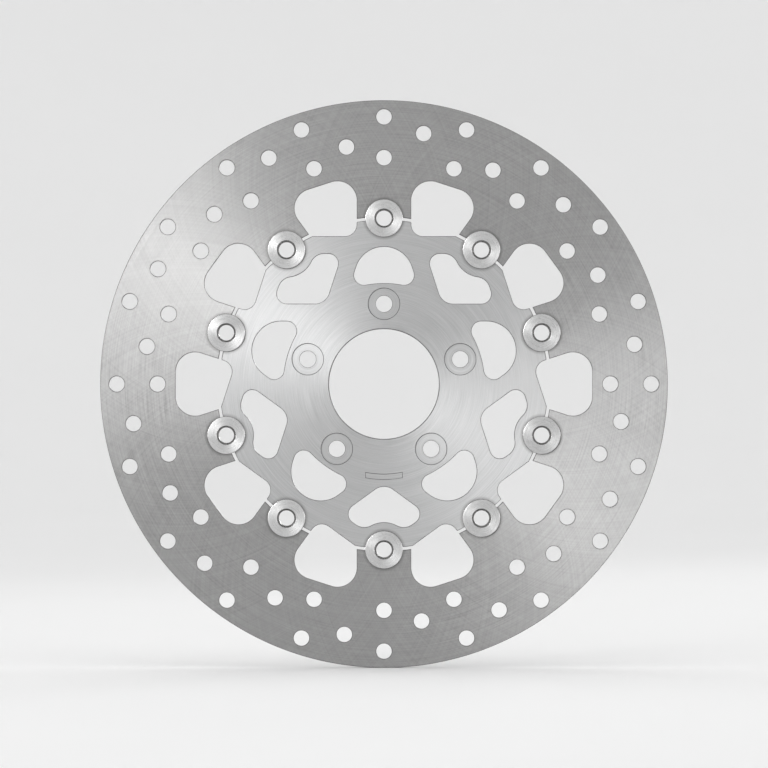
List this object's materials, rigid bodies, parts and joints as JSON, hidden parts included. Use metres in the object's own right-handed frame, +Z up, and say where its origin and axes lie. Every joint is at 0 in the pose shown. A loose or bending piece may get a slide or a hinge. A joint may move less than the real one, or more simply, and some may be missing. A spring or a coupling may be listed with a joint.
{
  "type": "motorcycle floating brake disc",
  "caption": "Floating motorcycle brake disc: a drilled steel friction band carried on an aluminium spider by drive bobbins with spring washers and retaining rings.",
  "frame": {"origin": "centre of the hub bore in the plane of the carrier's mounting face", "axes": "the disc stands upright and spins about Y; +Y points inboard, out of the mounting face towards the wheel hub, and -Y is the outboard side; +Z points up through one bolt hole and one bobbin; +X completes the frame"},
  "size_m": [0.292, 0.0099, 0.292],
  "materials": {
    "brake_band": "ground on both faces, fine circular grain",
    "carrier": "fine machined, clear anodised, satin",
    "bobbin": "turned, smooth",
    "spring_washer": "spring steel, tempered grey",
    "flat_washer": "zinc plated, satin",
    "retaining_ring": "black phosphated spring steel"
  },
  "bodies": {
    "carrier": {"carrier": "carrier"},
    "springs": {"spring_washer_01": "spring_washer", "spring_washer_02": "spring_washer", "spring_washer_03": "spring_washer", "spring_washer_04": "spring_washer", "spring_washer_05": "spring_washer", "spring_washer_06": "spring_washer", "spring_washer_07": "spring_washer", "spring_washer_08": "spring_washer", "spring_washer_09": "spring_washer", "spring_washer_10": "spring_washer"},
    "band": {"brake_band": "brake_band"},
    "bobbin_01": {"bobbin_01": "bobbin", "flat_washer_01": "flat_washer", "retaining_ring_01": "retaining_ring"},
    "bobbin_02": {"bobbin_02": "bobbin", "flat_washer_02": "flat_washer", "retaining_ring_02": "retaining_ring"},
    "bobbin_03": {"bobbin_03": "bobbin", "flat_washer_03": "flat_washer", "retaining_ring_03": "retaining_ring"},
    "bobbin_04": {"bobbin_04": "bobbin", "flat_washer_04": "flat_washer", "retaining_ring_04": "retaining_ring"},
    "bobbin_05": {"bobbin_05": "bobbin", "flat_washer_05": "flat_washer", "retaining_ring_05": "retaining_ring"},
    "bobbin_06": {"bobbin_06": "bobbin", "flat_washer_06": "flat_washer", "retaining_ring_06": "retaining_ring"},
    "bobbin_07": {"bobbin_07": "bobbin", "flat_washer_07": "flat_washer", "retaining_ring_07": "retaining_ring"},
    "bobbin_08": {"bobbin_08": "bobbin", "flat_washer_08": "flat_washer", "retaining_ring_08": "retaining_ring"},
    "bobbin_09": {"bobbin_09": "bobbin", "flat_washer_09": "flat_washer", "retaining_ring_09": "retaining_ring"},
    "bobbin_10": {"bobbin_10": "bobbin", "flat_washer_10": "flat_washer", "retaining_ring_10": "retaining_ring"}
  },
  "joints": [
    {"name": "band_backlash", "type": "hinge", "parent": "carrier", "child": "springs", "pos_m": [0, 0, 0], "axis": [0, 1, 0], "range_deg": [-0.065, 0.065]},
    {"name": "band_float", "type": "slide", "parent": "springs", "child": "band", "axis": [0, -1, 0], "range_m": [0, 0.0003], "stiffness_N_per_m": 20000, "springref_m": -0.002, "deforming": ["spring_washer_01", "spring_washer_02", "spring_washer_03", "spring_washer_04", "spring_washer_05", "spring_washer_06", "spring_washer_07", "spring_washer_08", "spring_washer_09", "spring_washer_10"]},
    {"name": "bobbin_01_spin", "type": "hinge", "parent": "band", "child": "bobbin_01", "pos_m": [0, 0, 0.0853], "axis": [0, 1, 0], "continuous": true},
    {"name": "bobbin_02_spin", "type": "hinge", "parent": "band", "child": "bobbin_02", "pos_m": [0.05014, 0, 0.06901], "axis": [0, 1, 0], "continuous": true},
    {"name": "bobbin_03_spin", "type": "hinge", "parent": "band", "child": "bobbin_03", "pos_m": [0.08113, 0, 0.02636], "axis": [0, 1, 0], "continuous": true},
    {"name": "bobbin_04_spin", "type": "hinge", "parent": "band", "child": "bobbin_04", "pos_m": [0.08113, 0, -0.02636], "axis": [0, 1, 0], "continuous": true},
    {"name": "bobbin_05_spin", "type": "hinge", "parent": "band", "child": "bobbin_05", "pos_m": [0.05014, 0, -0.06901], "axis": [0, 1, 0], "continuous": true},
    {"name": "bobbin_06_spin", "type": "hinge", "parent": "band", "child": "bobbin_06", "pos_m": [0, 0, -0.0853], "axis": [0, 1, 0], "continuous": true},
    {"name": "bobbin_07_spin", "type": "hinge", "parent": "band", "child": "bobbin_07", "pos_m": [-0.05014, 0, -0.06901], "axis": [0, 1, 0], "continuous": true},
    {"name": "bobbin_08_spin", "type": "hinge", "parent": "band", "child": "bobbin_08", "pos_m": [-0.08113, 0, -0.02636], "axis": [0, 1, 0], "continuous": true},
    {"name": "bobbin_09_spin", "type": "hinge", "parent": "band", "child": "bobbin_09", "pos_m": [-0.08113, 0, 0.02636], "axis": [0, 1, 0], "continuous": true},
    {"name": "bobbin_10_spin", "type": "hinge", "parent": "band", "child": "bobbin_10", "pos_m": [-0.05014, 0, 0.06901], "axis": [0, 1, 0], "continuous": true}
  ]
}
